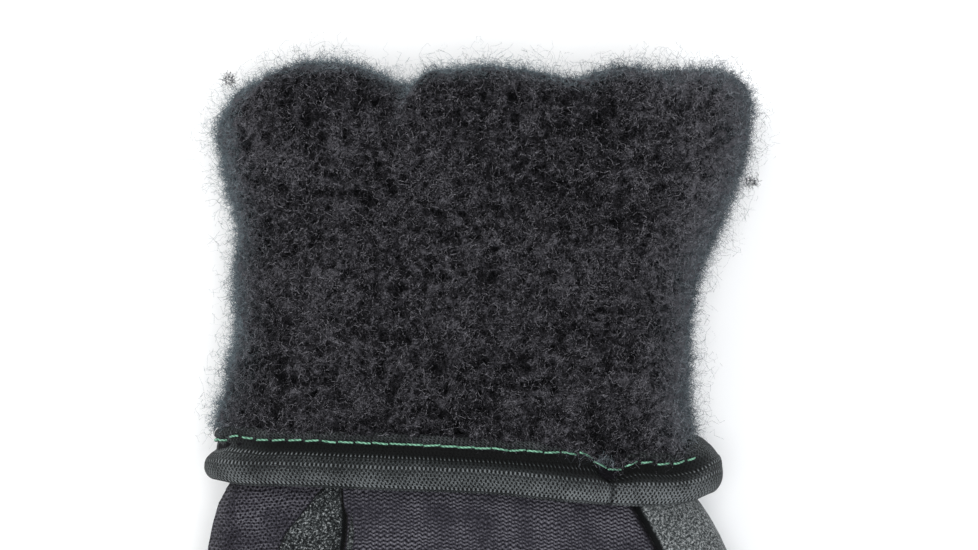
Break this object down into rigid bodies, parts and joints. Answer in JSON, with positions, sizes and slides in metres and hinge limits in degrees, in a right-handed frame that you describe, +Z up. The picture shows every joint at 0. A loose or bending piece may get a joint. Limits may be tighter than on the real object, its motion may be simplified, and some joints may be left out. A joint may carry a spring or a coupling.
{
  "type": "insulated work glove",
  "caption": "Lined left-hand work glove lying palm down, cuff turned back over the hand to show its thick pile lining and the stitched elastic binding of its edge.",
  "frame": {"origin": "on the surface that the glove lies on, under the middle of the turned-back cuff", "axes": "+Z up, out of the back of the hand; +Y from the fingertips towards the folded mouth; +X towards the little finger"},
  "size_m": [0.1438, 0.2366, 0.0387],
  "materials": {
    "pile_fleece": "thick charcoal pile fleece, in soft matted clumps with a loose fibre halo",
    "stretch_knit": "dark purple-grey stretch knit, in fine courses of loops",
    "brushed_synthetic_leather": "slate grey brushed synthetic leather with a short nap",
    "knitted_binding_tape": "dark grey ribbed knitted elastic tape, sewn with pale green thread"
  },
  "bodies": {
    "root": {"pile_lining": "pile_fleece", "cuff_sleeve": "stretch_knit", "edge_binding": "knitted_binding_tape", "back_panel": "stretch_knit", "thumb_back": "stretch_knit", "thumb_front": "brushed_synthetic_leather", "finger_strip_index_middle": "brushed_synthetic_leather", "finger_strip_middle_ring": "brushed_synthetic_leather", "finger_strip_ring_little": "brushed_synthetic_leather", "palm_panel": "brushed_synthetic_leather"}
  },
  "joints": []
}
